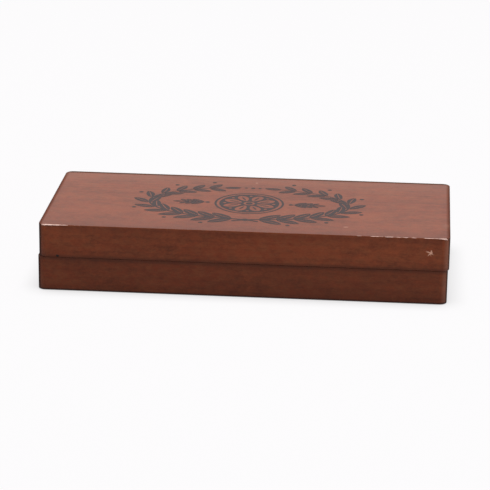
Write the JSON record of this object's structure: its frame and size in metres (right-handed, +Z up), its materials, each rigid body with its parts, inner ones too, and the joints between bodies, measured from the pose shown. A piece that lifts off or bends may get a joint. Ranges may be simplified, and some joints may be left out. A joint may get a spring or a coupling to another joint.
{
  "type": "wooden dice box",
  "caption": "Flat wooden box in two hinged halves: foam insert with six-sided dice pockets in the base, felt-lined rolling tray in the lid, hidden magnets at the front.",
  "frame": {"origin": "centre of the base's underside, the face that the box stands on", "axes": "+X to the right along the length, +Y to the back where the hinges are, +Z up"},
  "size_m": [0.2156, 0.1045, 0.036],
  "materials": {
    "lid_wood": "reddish brown hardwood under satin lacquer",
    "base_wood": "reddish brown hardwood under satin lacquer",
    "felt": "charcoal wool felt",
    "foam": "black closed-cell foam",
    "brass": "satin solid-drawn brass",
    "nickel": "bright nickel plate"
  },
  "bodies": {
    "base": {"base_front_board": "base_wood", "base_rear_board": "base_wood", "base_felt": "felt", "dice_insert": "foam", "base_magnet_left": "nickel", "base_magnet_right": "nickel", "hinge_left_base_leaf": "brass", "hinge_right_base_leaf": "brass", "hinge_left_pin": "brass", "hinge_right_pin": "brass", "hinge_left_base_screws": "brass", "hinge_right_base_screws": "brass"},
    "lid": {"lid_front_board": "lid_wood", "lid_rear_board": "lid_wood", "lid_floor_felt": "felt", "lid_wall_felt": "felt", "lid_magnet_left": "nickel", "lid_magnet_right": "nickel", "hinge_left_lid_leaf": "brass", "hinge_right_lid_leaf": "brass", "hinge_left_lid_screws": "brass", "hinge_right_lid_screws": "brass"}
  },
  "joints": [
    {"name": "lid_hinge", "type": "hinge", "parent": "base", "child": "lid", "pos_m": [0, 0.0524, 0.0182], "axis": [-1, 0, 0], "range_deg": [0, 180]}
  ]
}
